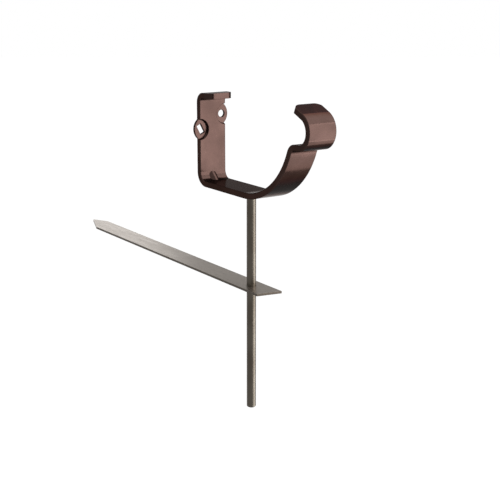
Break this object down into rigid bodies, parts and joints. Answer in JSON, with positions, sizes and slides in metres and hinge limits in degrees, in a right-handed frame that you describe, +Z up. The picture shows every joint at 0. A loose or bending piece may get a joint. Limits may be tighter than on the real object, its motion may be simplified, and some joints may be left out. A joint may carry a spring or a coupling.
{
  "type": "gutter bracket",
  "caption": "Rise-and-fall gutter bracket: bent flat-steel half-round cradle with a bead hook, a round rod under it, and a pointed drive-in bar the rod slides in.",
  "frame": {"origin": "centre of the drive-in bar's cross-section where the bar enters the wall; X = 0 is the wall face, which is also the plane of the back plate's rear face", "axes": "+X away from the wall along the bar, +Z up along the rod, +Y across the strap, with the round screw hole's lug on the +Y edge and the slotted lug on the -Y edge"},
  "size_m": [0.4005, 0.033, 0.2682],
  "materials": {
    "bracket_coat": "brown semi-gloss coating on steel",
    "rod_steel": "plain drawn steel",
    "bar_steel": "brushed along the bar"
  },
  "bodies": {
    "bar": {"drive_in_bar": "bar_steel"},
    "bracket": {"bracket_strap": "bracket_coat", "rod": "rod_steel"}
  },
  "joints": [
    {"name": "height_slide", "type": "slide", "parent": "bar", "child": "bracket", "axis": [0, 0, 1], "range_m": [-0.07, 0.095]}
  ]
}
